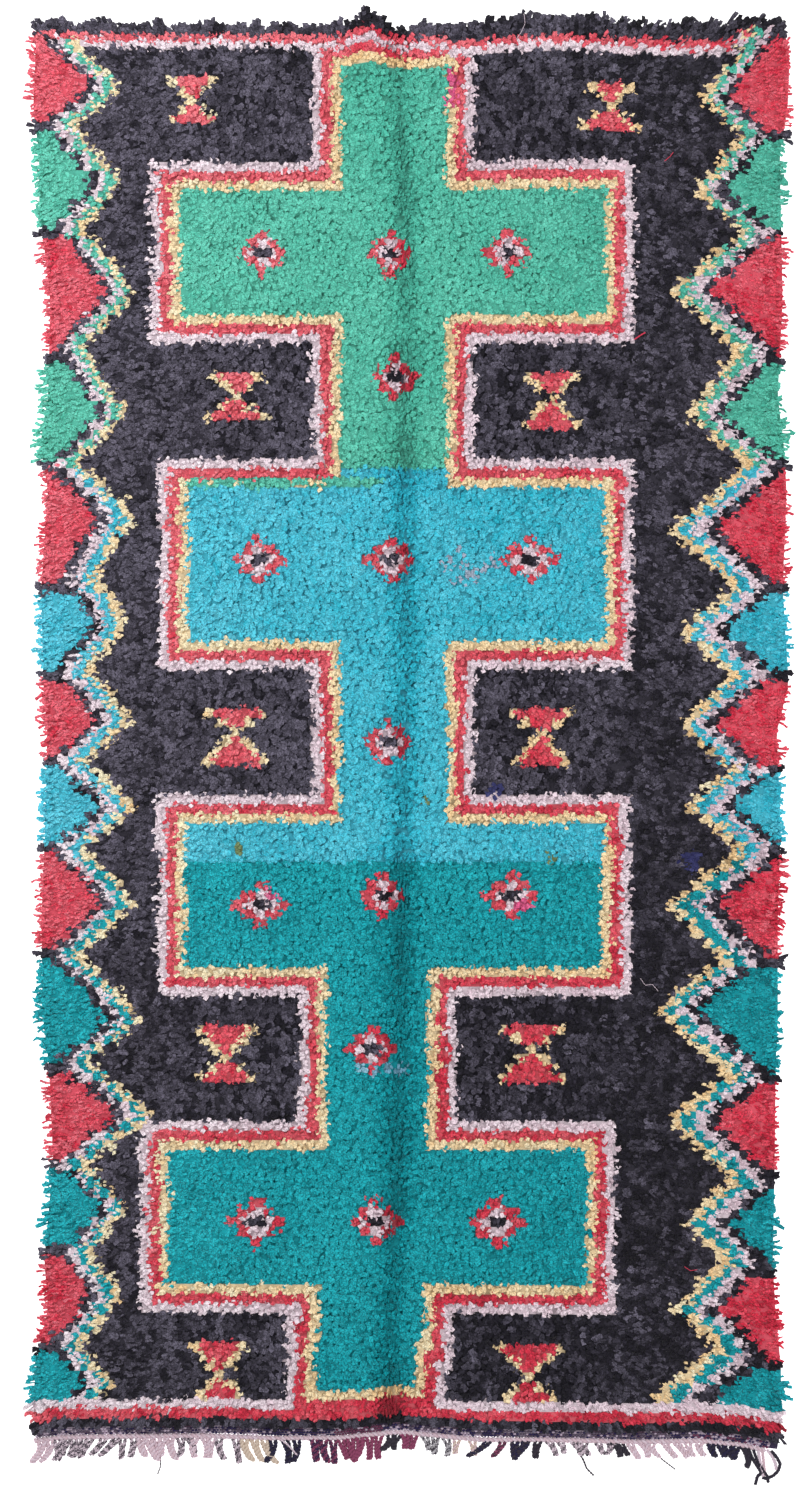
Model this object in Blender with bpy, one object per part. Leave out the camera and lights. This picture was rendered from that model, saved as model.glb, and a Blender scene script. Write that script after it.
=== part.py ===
"""Boucherouite rug: rag strips knotted in rows on a plain ground, lying flat on the floor.

The rug lies in the XY plane with its pile up. X runs across it, Y along it towards the end where the
weaver began, and the origin is on the floor under the middle of its box. One solid is the knotted
cloth: a lumpy slab of pile with tufts at its rim, and the narrow flat-woven band at its lower end.
The other two are the twined cord with the warp fringe, and the knotted tassel at its corner.
"""
import math
import random

import bmesh
import bpy
from mathutils import Matrix, Vector, noise

# The woven cloth, in metres
TOP_Y = 1.2550            # where the first row of knots ends, before the edge's own waves
PILE_LENGTH = 2.4320      # from there down to the last row of knots
BAND_LENGTH = 0.0130      # the flat-woven band below the last row
PILE_HEIGHT = 0.0250      # knots and tufts together
RIM_HEIGHT = 0.0120       # the pile at the very edge, where it leans out over the floor
RIM_ROUNDING = 0.0080     # how fast the pile rises behind the rim
BAND_THICKNESS = 0.0050
TUFT_OVERHANG = 0.0070    # the tufts reach about this far past the woven edge

# Brings the middle of the finished rug's box over the origin
ONTO_ORIGIN = (-0.0012, -0.0033, 0.0)

# The slab's stations: a short first step behind the rim, then even ones
COLUMNS = 40
PILE_ROWS = 72
RIM_STEP = 0.0140
BAND_STEP = 0.0030        # the pile drops to the band over this length

# Unevenness of the pile's face
LUMP_HEIGHT = 0.0034
LUMP_SPACING = 0.060
SMALL_LUMP_HEIGHT = 0.0016
SMALL_LUMP_SPACING = 0.026

# The fold line down the middle, and the buckle where it meets the upper end
CREASE_COLUMNS = ("from_top", "x")
CREASE = ((0.15, -0.019), (0.33, -0.009), (1.00, -0.009), (1.60, -0.017), (2.00, -0.024), (2.20, -0.035))
CREASE_DEPTH = 0.0070
CREASE_WIDTH = 0.0280
BUCKLE_X = -0.0700
BUCKLE_WIDTH = 0.0300
BUCKLE_LENGTH = 0.1100
BUCKLE_LIFT = 0.0160

# The tufts at the rim
TUFT_LENGTH = (0.005, 0.013)
END_TUFT_LENGTH = (0.005, 0.016)
TUFT_TIP = 0.30           # the tip's width and height, as a share of the root's
TUFT_TIP_Z = 0.0022       # the tip's lower side is this high over the floor

# The twined cord and the fringe of warp ends under it
GAP = 0.00035
CORD_WIDTH = 0.0090
CORD_THICKNESS = 0.0065
CORD_EDGE = 0.0036
CORD_TURN = 0.0080        # one turn of the twining
TURN_LIFT = 0.0009        # every other turn stands this much higher
STRAND_STEPS = 3
STRAND_LENGTH = (0.024, 0.039)
STRAND_TIP = 0.62
FAN = 0.0035              # how far a strand of either end leans outward in one step
LEAN_CHOICE = 0.0020      # the strands' own leaning, either way
LEAN_CHANGE = 0.0018      # neighbours differ by no more than this, so that they stand apart
SKIPPED_STRANDS = (17, 44, 58, 70)

# The tassel that knots the last warps together at the lower right corner
KNOT_SIZE = (0.030, 0.018, 0.011)
KNOT_FLATTENED = 0.17     # the share of its height that the floor flattens
KNOT_FROM_EDGE = 0.024    # from the knot's middle to the right-hand edge
TASSEL_RADIUS = 0.0022
TASSEL_STAGGER = 0.0002   # each strand lies this much higher than the one before, so none share a face
TASSEL_COLUMNS = ("root", "length", "side")
TASSEL_STRANDS = (
    (-0.010, 0.026, -0.010),
    (-0.006, 0.050, -0.006),
    (-0.002, 0.042, 0.004),
    (0.002, 0.053, -0.004),
    (0.008, 0.036, 0.010),
)
LOOP_COLUMNS = ("right", "down")
LOOP = ((0.009, 0.000), (0.015, 0.014), (0.017, 0.027), (0.010, 0.038), (0.002, 0.040))

# The edges, as far from the middle line, at distances from the upper end
EDGE_COLUMNS = ("from_top", "left", "right")
EDGES = (
    (0.00, 0.653, 0.653),
    (0.14, 0.658, 0.660),
    (0.23, 0.648, 0.647),
    (0.31, 0.648, 0.648),
    (0.48, 0.629, 0.652),
    (0.64, 0.633, 0.643),
    (0.73, 0.646, 0.653),
    (0.81, 0.633, 0.658),
    (0.98, 0.645, 0.652),
    (1.14, 0.641, 0.661),
    (1.23, 0.634, 0.641),
    (1.39, 0.638, 0.648),
    (1.56, 0.645, 0.643),
    (1.73, 0.641, 0.643),
    (1.81, 0.631, 0.640),
    (1.97, 0.624, 0.638),
    (2.14, 0.640, 0.634),
    (2.22, 0.633, 0.640),
    (2.31, 0.652, 0.648),
    (2.39, 0.660, 0.650),
    (2.45, 0.652, 0.641),
)

# The two ends: how far each one stands up the rug from its straight line, at places across the rug
END_COLUMNS = ("x", "upper", "lower")
ENDS = (
    (-0.650, 0.004, -0.006),
    (-0.607, 0.003, -0.001),
    (-0.540, 0.000, 0.000),
    (-0.430, -0.005, 0.001),
    (-0.330, -0.002, 0.002),
    (-0.225, -0.005, -0.002),
    (-0.125, -0.006, -0.002),
    (-0.073, 0.015, 0.003),
    (-0.017, -0.008, 0.008),
    (0.035, -0.008, 0.003),
    (0.090, -0.003, -0.003),
    (0.190, 0.007, -0.005),
    (0.295, 0.009, -0.007),
    (0.400, 0.000, -0.009),
    (0.503, -0.002, -0.007),
    (0.572, 0.003, -0.014),
    (0.620, 0.007, -0.024),
    (0.650, 0.006, -0.028),
)

COLLECTION_NAME = "boucherouite_rug"
CHARCOAL = (0.052, 0.046, 0.062, 1.0)
LILAC_COTTON = (0.62, 0.53, 0.58, 1.0)
BLACK_YARN = (0.035, 0.036, 0.040, 1.0)


def eased(table, column, at):
    """The value of one column of a table at a place, with soft turns between its rows."""
    if at <= table[0][0]:
        return table[0][column]
    for low, high in zip(table, table[1:]):
        if at <= high[0]:
            share = (at - low[0]) / (high[0] - low[0])
            share = share * share * (3 - 2 * share)
            return low[column] + (high[column] - low[column]) * share
    return table[-1][column]


def left_edge(from_top):
    return -eased(EDGES, EDGE_COLUMNS.index("left"), from_top)


def right_edge(from_top):
    return eased(EDGES, EDGE_COLUMNS.index("right"), from_top)


def place(across, from_top):
    """The point of the cloth at a share across (0 left, 1 right) and a length from the upper end."""
    left = left_edge(from_top) + TUFT_OVERHANG
    right = right_edge(from_top) - TUFT_OVERHANG
    x = left + (right - left) * across
    whole = PILE_LENGTH + BAND_LENGTH
    upper = eased(ENDS, END_COLUMNS.index("upper"), x)
    lower = eased(ENDS, END_COLUMNS.index("lower"), x)
    share = from_top / whole
    # The upper end's waves die out within the first quarter of the rug, the lower end's likewise
    y = TOP_Y - from_top + upper * max(0.0, 1 - 4 * share) ** 2 + lower * max(0.0, 4 * share - 3) ** 2
    return x, y


def bell(distance, width):
    return math.exp(-((distance / width) ** 2))


def buckle(x, from_top):
    """How far the cloth is lifted off the floor where the fold line meets the upper end."""
    lift = BUCKLE_LIFT * bell(x - BUCKLE_X, BUCKLE_WIDTH) * max(0.0, 1 - from_top / BUCKLE_LENGTH)
    return lift if lift > 0.0008 else 0.0


def pile_face(x, y, from_top, to_rim):
    """Height of the pile's face over the cloth's underside."""
    if from_top > PILE_LENGTH:
        return BAND_THICKNESS
    height = RIM_HEIGHT + (PILE_HEIGHT - RIM_HEIGHT) * (1 - math.exp(-to_rim / RIM_ROUNDING))
    inside = min(1.0, to_rim / (2 * RIM_STEP))
    lumps = LUMP_HEIGHT * noise.noise(Vector((x, y, 0.0)) / LUMP_SPACING)
    lumps += SMALL_LUMP_HEIGHT * noise.noise(Vector((x, y, 1.0)) / SMALL_LUMP_SPACING)
    crease_x = eased(CREASE, CREASE_COLUMNS.index("x"), from_top)
    groove = CREASE_DEPTH * bell(x - crease_x, CREASE_WIDTH)
    return height + inside * (lumps - groove)


def stations(length, count):
    """Distances along a side: one short step behind each rim, and even steps between."""
    step = (length - 2 * RIM_STEP) / (count - 2)
    return [0.0] + [RIM_STEP + step * i for i in range(count - 1)] + [length]


def cloth_rows():
    """Lengths from the upper end of the slab's rows, the flat-woven band's among them."""
    rows = stations(PILE_LENGTH, PILE_ROWS)
    return rows + [PILE_LENGTH + BAND_STEP, PILE_LENGTH + BAND_LENGTH]


def collection(name):
    made = bpy.data.collections.new(name)
    bpy.context.scene.collection.children.link(made)
    return made


def finish(mesh, colour, roughness):
    """Gives a mesh its material, and puts it in the rug's collection as an object of that name."""
    mesh.transform(Matrix.Translation(ONTO_ORIGIN))
    material = bpy.data.materials.new(mesh.name)
    material.use_nodes = True
    shader = material.node_tree.nodes["Principled BSDF"]
    shader.inputs["Base Color"].default_value = colour
    shader.inputs["Roughness"].default_value = roughness
    shader.inputs["Metallic"].default_value = 0.0
    mesh.materials.append(material)
    piece = bpy.data.objects.new(mesh.name, mesh)
    bpy.data.collections[COLLECTION_NAME].objects.link(piece)
    return piece


def thicken(bm):
    """Extrudes an open sheet into a slab, and returns the vertices of its underside."""
    made = bmesh.ops.extrude_face_region(bm, geom=bm.faces[:])
    return [item for item in made["geom"] if isinstance(item, bmesh.types.BMVert)]


def merge_flat_underside(bm):
    """Joins the faces that lie on the floor into one flat face."""
    flat = [f for f in bm.faces if all(abs(v.co.z) < 1e-7 for v in f.verts)]
    bmesh.ops.dissolve_faces(bm, faces=flat, use_verts=False)


def is_side(face):
    """Whether a face stands upright, as the rims of the slab and of the cord do."""
    return abs(face.normal.z) < 0.2 and face.calc_area() > 1e-6


def width_shares():
    """The slab's columns as shares of the rug's width."""
    width = 2 * (EDGES[0][1] - TUFT_OVERHANG)
    return [distance / width for distance in stations(width, COLUMNS)]


def knotted_cloth():
    """The pile slab with its rim tufts, and the flat-woven band at the lower end."""
    rows = cloth_rows()
    shares = width_shares()
    bm = bmesh.new()
    bmesh.ops.create_grid(bm, x_segments=COLUMNS, y_segments=len(rows) - 1, size=1.0)
    underside = bm.verts.layers.float.new("underside")
    for vertex in bm.verts:
        column = round((vertex.co.x + 1) / 2 * COLUMNS)
        row = round((1 - vertex.co.y) / 2 * (len(rows) - 1))
        from_top = rows[row]
        x, y = place(shares[column], from_top)
        left, right = left_edge(from_top), right_edge(from_top)
        to_side = max(0.0, min(x - left, right - x) - TUFT_OVERHANG)
        to_rim = min(to_side, from_top, max(0.0, PILE_LENGTH - from_top))
        lift = buckle(x, from_top)
        vertex.co = (x, y, lift + pile_face(x, y, from_top, to_rim))
        vertex[underside] = lift
    for vertex in thicken(bm):
        vertex.co.z = vertex[underside]
    bmesh.ops.recalc_face_normals(bm, faces=bm.faces[:])
    merge_flat_underside(bm)
    pull_rim_tufts(bm)
    mesh = bpy.data.meshes.new("knotted_pile")
    bm.to_mesh(mesh)
    bm.free()
    return finish(mesh, CHARCOAL, 0.95)


def pull_rim_tufts(bm):
    """Pulls each face of the pile's rim out into a tapered four-sided tuft that leans over the floor."""
    chance = random.Random(21)
    smallest = RIM_STEP * RIM_HEIGHT / 2
    rim = [f for f in bm.faces if is_side(f) and f.normal.y > -0.5 and f.calc_area() > smallest]
    tips = bmesh.ops.extrude_discrete_faces(bm, faces=rim)["faces"]
    tips.sort(key=lambda f: math.atan2(f.calc_center_median().x, f.calc_center_median().y))
    for tip in tips:
        tip.normal_update()
        way = Vector((tip.normal.x, tip.normal.y, 0.0)).normalized()
        along = Vector((-way.y, way.x, 0.0))
        length = chance.uniform(*(END_TUFT_LENGTH if abs(way.y) > abs(way.x) else TUFT_LENGTH))
        slant = chance.uniform(-0.35, 0.35) * length
        centre = tip.calc_center_median()
        floor = min(v.co.z for v in tip.verts)
        for vertex in tip.verts:
            height = floor + TUFT_TIP_Z + (vertex.co.z - floor) * TUFT_TIP
            vertex.co = centre + (vertex.co - centre) * TUFT_TIP + way * length + along * slant
            vertex.co.z = height


def lower_corners():
    """The slab's corners along the lower edge of the flat-woven band, from left to right."""
    return [place(share, PILE_LENGTH + BAND_LENGTH) for share in width_shares()]


def lower_edge(x):
    """How far down the lower edge lies at a place across the rug."""
    for (x0, y0), (x1, y1) in zip(lower_corners(), lower_corners()[1:]):
        if x <= x1:
            return y0 + (y1 - y0) * (x - x0) / (x1 - x0)
    return y1


def cord_line():
    """Points along the lower edge, one for each turn of the twining, short of the tassel."""
    corners = lower_corners()[:-2]
    line = corners[:1]
    for (x0, y0), (x1, y1) in zip(corners, corners[1:]):
        turns = round((x1 - x0) / CORD_TURN)
        shares = [(turn + 1) / turns for turn in range(turns)]
        line += [(x0 + (x1 - x0) * share, y0 + (y1 - y0) * share) for share in shares]
    return line


def twined_cord_with_fringe():
    """The crowned cord twined along the lower edge, its lower side pulled out into the warp ends."""
    line = cord_line()
    turns = len(line) - 1
    bm = bmesh.new()
    bmesh.ops.create_grid(bm, x_segments=turns, y_segments=2, size=1.0)
    for vertex in bm.verts:
        turn = round((vertex.co.x + 1) / 2 * turns)
        across = round(1 - vertex.co.y)
        x, y = line[turn]
        crown = CORD_THICKNESS if across == 1 else CORD_EDGE
        lift = TURN_LIFT if turn % 2 else 0.0
        vertex.co = (x, y - GAP - CORD_WIDTH * across / 2, crown + lift)
    for vertex in thicken(bm):
        vertex.co.z = 0.0
    bmesh.ops.recalc_face_normals(bm, faces=bm.faces[:])
    pull_strands(bm)
    merge_flat_underside(bm)
    mesh = bpy.data.meshes.new("twined_fringe")
    bm.to_mesh(mesh)
    bm.free()
    return finish(mesh, LILAC_COTTON, 0.9)


def pull_strands(bm):
    """Pulls every other face of the cord's lower side out into a four-sided strand on the floor."""
    chance = random.Random(34)
    lower = [f for f in bm.faces if is_side(f) and f.normal.y < -0.5]
    lower.sort(key=lambda f: -f.calc_center_median().x)
    lean = 0.0                # beside the tassel they hang straight down
    for number, face in enumerate(lower[1::2]):
        length = chance.uniform(*STRAND_LENGTH)
        fan = FAN * max(-1.0, min(1.0, face.calc_center_median().x / 0.3))
        wish = fan + chance.uniform(-LEAN_CHOICE, LEAN_CHOICE)
        lean = max(lean - LEAN_CHANGE, min(lean + LEAN_CHANGE, wish))
        if number in SKIPPED_STRANDS:
            continue
        for step in range(STRAND_STEPS):
            face = bmesh.ops.extrude_discrete_faces(bm, faces=[face])["faces"][0]
            is_tip = step == STRAND_STEPS - 1
            taper = STRAND_TIP if is_tip else 1.04
            centre = face.calc_center_median()
            for vertex in face.verts:
                height = 0.0 if vertex.co.z < 1e-7 else vertex.co.z * (0.6 if is_tip else 0.95)
                x = centre.x + (vertex.co.x - centre.x) * taper + lean
                y = centre.y + (vertex.co.y - centre.y) * 0.3 - length / STRAND_STEPS
                vertex.co = (x, y, height)


def knot_ball(head, tilt):
    """The knot: a ball flattened by the floor, drawn out along the cloth's edge."""
    mesh = bpy.data.meshes.new("corner_tassel")
    bm = bmesh.new()
    bmesh.ops.create_uvsphere(bm, u_segments=16, v_segments=8, radius=0.5)
    bmesh.ops.translate(bm, vec=(0.0, 0.0, 0.5 - KNOT_FLATTENED), verts=bm.verts[:])
    everything = bm.verts[:] + bm.edges[:] + bm.faces[:]
    bmesh.ops.bisect_plane(bm, geom=everything, plane_no=(0, 0, -1), clear_outer=True)
    bmesh.ops.holes_fill(bm, edges=[e for e in bm.edges if e.is_boundary])
    bmesh.ops.scale(bm, vec=KNOT_SIZE, verts=bm.verts[:])
    bmesh.ops.transform(bm, matrix=Matrix.Translation(head) @ tilt, verts=bm.verts[:])
    bmesh.ops.recalc_face_normals(bm, faces=bm.faces[:])
    bm.to_mesh(mesh)
    bm.free()
    return mesh


def tassel_routes():
    """Where the tassel's strands and its loop run, from the knot's middle."""
    routes = []
    for row in TASSEL_STRANDS:
        strand = dict(zip(TASSEL_COLUMNS, row))
        bend = strand["root"] + 0.35 * strand["side"]
        end = strand["root"] + strand["side"]
        routes.append([(strand["root"], 0.0), (bend, -0.45 * strand["length"]), (end, -strand["length"])])
    routes.append([(right, -down) for right, down in LOOP])
    return routes


def tassel_strand(name, points, height):
    """One strand of the tassel as a closed four-sided tube through its points."""
    curve = bpy.data.curves.new(name, "CURVE")
    curve.dimensions = "3D"
    curve.bevel_depth = TASSEL_RADIUS
    curve.bevel_resolution = 0
    curve.use_fill_caps = True
    spline = curve.splines.new("POLY")
    spline.points.add(len(points) - 1)
    for point, (x, y) in zip(spline.points, points):
        point.co = (x, y, height, 1.0)
    drawn = bpy.data.objects.new(name, curve)
    bpy.context.scene.collection.objects.link(drawn)
    shape = drawn.evaluated_get(bpy.context.evaluated_depsgraph_get())
    mesh = bpy.data.meshes.new_from_object(shape)
    bpy.data.objects.remove(drawn)
    bm = bmesh.new()
    bm.from_mesh(mesh)
    bmesh.ops.remove_doubles(bm, verts=bm.verts[:], dist=0.00001)
    bmesh.ops.recalc_face_normals(bm, faces=bm.faces[:])
    bm.to_mesh(mesh)
    bm.free()
    mesh.transform(Matrix.Translation(ONTO_ORIGIN))
    return mesh


def corner_tassel():
    """The knot at the lower right corner, with its loose strands and one loop joined to it."""
    right, _ = place(1.0, PILE_LENGTH + BAND_LENGTH)
    middle = right - KNOT_FROM_EDGE
    slope = (lower_edge(middle + GAP) - lower_edge(middle - GAP)) / (2 * GAP)
    tilt = Matrix.Rotation(math.atan(slope), 4, "Z")
    away = tilt @ Vector((0.0, -GAP - KNOT_SIZE[1] / 2, 0.0))
    head = Vector((middle, lower_edge(middle), 0.0)) + away
    knot = finish(knot_ball(head, tilt), BLACK_YARN, 0.9)
    joined = collection("joined_strands")
    for number, route in enumerate(tassel_routes()):
        points = [(head.x + x, head.y + y) for x, y in route]
        name = f"tassel_strand_{number}"
        mesh = tassel_strand(name, points, TASSEL_RADIUS + TASSEL_STAGGER * number)
        strand = bpy.data.objects.new(name, mesh)
        strand.hide_render = True
        strand.display_type = "WIRE"
        joined.objects.link(strand)
        join = knot.modifiers.new(f"join_{number}", "BOOLEAN")
        join.operation = "UNION"
        join.solver = "EXACT"
        join.object = strand
    return knot


def main():
    for old in list(bpy.data.objects):
        bpy.data.objects.remove(old)
    collection(COLLECTION_NAME)
    knotted_cloth()
    twined_cord_with_fringe()
    corner_tassel()


main()
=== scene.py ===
import math

import bmesh
import bpy
import numpy as np
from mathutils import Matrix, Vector, noise


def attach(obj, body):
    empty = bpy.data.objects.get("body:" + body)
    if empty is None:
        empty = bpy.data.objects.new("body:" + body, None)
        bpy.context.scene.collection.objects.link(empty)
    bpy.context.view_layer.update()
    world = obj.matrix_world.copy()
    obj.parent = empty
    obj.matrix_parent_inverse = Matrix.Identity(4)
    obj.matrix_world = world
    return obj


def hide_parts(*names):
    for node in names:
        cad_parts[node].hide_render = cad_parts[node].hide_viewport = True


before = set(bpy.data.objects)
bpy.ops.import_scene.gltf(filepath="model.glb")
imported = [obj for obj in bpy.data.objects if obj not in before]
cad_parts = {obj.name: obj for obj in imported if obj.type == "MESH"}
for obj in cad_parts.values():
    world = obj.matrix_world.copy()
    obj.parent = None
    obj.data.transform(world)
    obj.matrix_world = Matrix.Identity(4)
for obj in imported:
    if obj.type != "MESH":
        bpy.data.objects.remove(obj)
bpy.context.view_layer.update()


# THE GROUND CLOTH
# Cotton wefts are beaten down over each row of knots, so ground and knots' feet make one thin cloth
# that shows the motifs on its underside too. It lies flat on the floor but for one small buckle.
# All charts give places in pixels of the photograph, as if each row of knots ran straight.
PIXEL = 0.0017333
TOP_ROW = 25.0
LAST_ROW = 1432.5
CHART_CENTRE = (410.0, 749.0)
CLOTH_CENTRE = (-0.0012, -0.0033)

EDGE_COLUMNS = ("y", "left", "right")
EDGES = (
    (28, 33, 787), (60, 32, 793), (108, 30, 791), (156, 36, 783), (204, 36, 784), (300, 47, 786),
    (396, 45, 781), (444, 37, 787), (492, 45, 790), (588, 38, 786), (684, 40, 792), (732, 44, 780),
    (828, 42, 784), (924, 38, 781), (1020, 40, 781), (1068, 46, 779), (1164, 50, 778), (1260, 41, 776),
    (1308, 45, 779), (1356, 34, 784), (1404, 29, 785), (1440, 34, 780),
)

# How far each end stands up the picture from its straight line. The bottom right corner drops.
END_COLUMNS = ("x", "upper", "lower")
ENDS = (
    (35, 2.3, -3.5), (60, 1.7, -0.6), (98, 0.0, 0.0), (162, -2.9, 0.6), (220, -1.2, 1.2),
    (280, -2.9, -1.2), (338, -3.5, -1.2), (368, -3.5, 1.7), (400, -4.6, 4.6), (430, -4.6, 1.7),
    (462, -1.7, -1.7), (520, 4.0, -2.9), (580, 5.2, -4.0), (641, 0.0, -5.2), (700, -1.2, -4.0),
    (740, 1.7, -8.0), (768, 4.0, -14.0), (785, 3.5, -16.0),
)

# The line where the rug was folded lengthwise, and the buckle that pushes its upper end out.
CREASE_COLUMNS = ("y", "x")
CREASE = ((115, 399), (210, 405), (615, 405), (940, 400), (1180, 396), (1340, 390))
CREASE_WIDTH = 17.0
BUCKLE_X, BUCKLE_WIDTH, BUCKLE_LENGTH = 368.0, 17.0, 64.0
BUCKLE_PUSH = 12.0
BUCKLE_LIFT, LEAST_LIFT = 0.016, 0.0008

# Cloth heights, in metres
GROUND_THICKNESS = 0.0030
FOOT_HEIGHT, EDGE_FOOT_HEIGHT = 0.0170, 0.0070
EDGE_OVERHANG = 2.6


def column(rows, columns, name):
    """A table's column, by its name."""
    return np.array([row[columns.index(name)] for row in rows])


def read(rows, columns, name, at):
    """A table's column at a place between its rows."""
    return np.interp(at, [row[0] for row in rows], column(rows, columns, name))


def bell(distance):
    return np.exp(-np.square(distance))


def buckled(size, px, py):
    """What the buckle makes of a size at a point of the charts."""
    near_top = np.clip(1 - (py - TOP_ROW) / BUCKLE_LENGTH, 0, 1)
    return size * bell((px - BUCKLE_X) / BUCKLE_WIDTH) * near_top


def to_metres(px, py, up=0.0):
    """Where a point of the photograph lies on the floor, once it is moved up the picture by so much."""
    x = (px - CHART_CENTRE[0]) * PIXEL + CLOTH_CENTRE[0]
    y = (CHART_CENTRE[1] - py + up) * PIXEL + CLOTH_CENTRE[1]
    return x, y


def place_on_floor(px, py):
    """Where a point of the charts lies on the floor, in metres."""
    px, py = np.asarray(px, float), np.asarray(py, float)
    share = (py - TOP_ROW) / (LAST_ROW - TOP_ROW)
    up = read(ENDS, END_COLUMNS, "upper", px) * np.clip(1 - 4 * share, 0, 1) ** 2
    up += read(ENDS, END_COLUMNS, "lower", px) * np.clip(4 * share - 3, 0, 1) ** 2
    return to_metres(px, py, up + buckled(BUCKLE_PUSH, px, py))


def cloth_lift(px, py):
    """How far the buckle lifts the cloth off the floor."""
    lift = buckled(BUCKLE_LIFT, px, py)
    return np.where(lift > LEAST_LIFT, lift, 0.0)


# The weaver's chart. Every motif is laid out in whole rows and knots, so its edges are stepped.
ROW_PITCH, KNOT_PITCH = 9.60, 5.2
ROWS = [25.6, 30.0, 36.2, 43.4, 50.6, 59.2] + [65 + ROW_PITCH * (n + 0.5) for n in range(142)]
YARNS = ("charcoal", "green", "blue", "teal", "rose", "red", "yellow", "lilac", "pink", "olive", "navy",
         "mauve", "sky")
CHARCOAL, GREEN, BLUE, TEAL, ROSE, RED, YELLOW, LILAC, PINK, OLIVE, NAVY, MAUVE, SKY = range(len(YARNS))
OUTLINE = 9.6
BLUE_FROM, TEAL_FROM = 470, 862
# The stripes across the ends, by where each stops or starts. Right of the middle the top ones lie a row
# lower, but not where they pass the zigzag's first corner.
TOP_DARK_TO, TOP_RED_TO, TOP_LILAC_TO, TOP_LILAC_FROM_X = 31, 39, 46, 77
DROP_FROM_X, NO_DROP_FROM_X, NO_DROP_TO_X, STRIPE_DROP = 450, 735, 774, 7.4
END_LILAC_FROM, END_RED_FROM, END_DARK_FROM = 1399.5, 1409, 1418.6

# The stacked crosses, as boxes: left, right, top and bottom
FIGURE = (
    (341, 446, 66, 970), (180, 605, 190, 315), (188, 604, 485, 644), (186, 601, 826, 970),
    (327, 428, 970, 1150), (169, 586, 1151, 1284), (320, 424, 1284, 1342), (315, 416, 1342, 1394),
)

# The turning points of the yellow line that leads each side's zigzag
ZIGZAG_COLUMNS = ("y", "x")
LEFT_ZIGZAG = (
    (40, 69), (85, 120), (125, 73), (182, 119), (228, 81), (290, 132), (347, 85), (414, 123), (460, 78),
    (517, 134), (577, 93), (623, 126), (668, 86), (720, 131), (760, 84), (807, 133), (850, 83),
    (902, 135), (955, 78), (1017, 138), (1062, 88), (1113, 151), (1165, 85), (1208, 123), (1253, 89),
    (1295, 120), (1345, 80), (1385, 110), (1405, 92),
)
RIGHT_ZIGZAG = (
    (32, 758), (95, 705), (137, 745), (192, 696), (231, 747), (288, 671), (353, 740), (415, 688),
    (465, 749), (528, 673), (587, 734), (631, 681), (676, 734), (725, 681), (770, 732), (805, 687),
    (850, 742), (905, 669), (960, 724), (1008, 659), (1075, 729), (1120, 670), (1180, 735),
    (1220, 684), (1260, 723), (1307, 675), (1342, 720), (1393, 656), (1405, 668),
)
# What fills the zigzags at the edge, each down to a place, and how wide its four lines are together
FILL_COLUMNS = ("down_to_left", "down_to_right", "yarn", "lines_left", "lines_right")
FILLS = (
    (130, 136, ROSE, 32, 28), (237, 230, GREEN, 32, 30), (358, 355, ROSE, 29, 40), (460, 466, GREEN, 28, 39),
    (584, 588, ROSE, 38, 46), (671, 677, BLUE, 35, 48), (760, 766, ROSE, 38, 36), (850, 852, BLUE, 38, 48),
    (957, 966, ROSE, 36, 52), (1064, 1075, TEAL, 33, 45), (1167, 1177, ROSE, 37, 49),
    (1249, 1266, TEAL, 27, 50), (1346, 1352, ROSE, 33, 49), (1440, 1440, TEAL, 32, 62),
)
# The middle of the neck, the rows above and below it, and the widths at the top and the bottom
HOURGLASSES = (
    (193, 99, 2, 2, 50, 50), (237, 396, 2, 2, 52, 62), (236, 732, 2, 3, 63, 66), (226, 1058, 3, 2, 63, 61),
    (220, 1375, 3, 2, 58, 48), (610, 108, 2, 2, 44, 60), (551, 396, 2, 3, 56, 58), (541, 732, 2, 3, 65, 58),
    (532, 1049, 2, 3, 70, 70), (529, 1375, 3, 2, 68, 52),
)
NECK_HALF_WIDTH, HOURGLASS_EDGE = 5.5, 8.5
# The middle and the width
ROSETTES = (
    (263, 249, 46), (389, 249, 44), (507, 248, 48), (395, 381, 46), (259, 563, 54), (390, 563, 50),
    (530, 562, 58), (388, 743, 50), (261, 902, 56), (383, 900, 44), (511, 899, 56), (371, 1045, 50),
    (257, 1220, 56), (376, 1220, 50), (497, 1222, 60),
)
# From the middle row outward: each yarn's reach from the middle, as a share of the width
ROSETTE_ROWS = (
    ((0.50, RED), (0.29, LILAC), (0.14, CHARCOAL)), ((0.33, RED), (0.12, LILAC)), ((0.11, RED),),
)
# Places where the weaver ran out of a rag and took another: the middle, half the width, half the height,
# the share of its knots and their yarn
ODD_KNOTS = (
    (285, 487, 95, 5, 0.85, GREEN), (470, 565, 26, 22, 0.30, MAUVE), (240, 850, 5, 5, 0.8, OLIVE),
    (425, 800, 6, 5, 0.8, OLIVE), (553, 855, 6, 5, 0.8, OLIVE), (273, 893, 7, 5, 1.0, PINK),
    (524, 905, 7, 5, 1.0, PINK), (452, 85, 5, 16, 0.7, PINK), (690, 860, 9, 9, 0.7, NAVY),
    (495, 790, 8, 8, 0.7, NAVY), (382, 1070, 28, 5, 0.6, SKY), (708, 1391, 10, 6, 1.0, CHARCOAL),
    (440, 1417, 40, 4, 0.3, PINK), (560, 1417, 40, 4, 0.25, PINK),
)


def in_figure(px, py, grown):
    """Whether a knot lies in the stacked crosses, once each is grown by so much on every side."""
    inside = np.zeros(px.shape, bool)
    for left, right, top, bottom in FIGURE:
        inside |= (px > left - grown) & (px < right + grown) & (py > top - grown) & (py < bottom + grown)
    return inside


def motif_ground(py):
    return np.where(py < BLUE_FROM, GREEN, np.where(py < TEAL_FROM, BLUE, TEAL))


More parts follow.
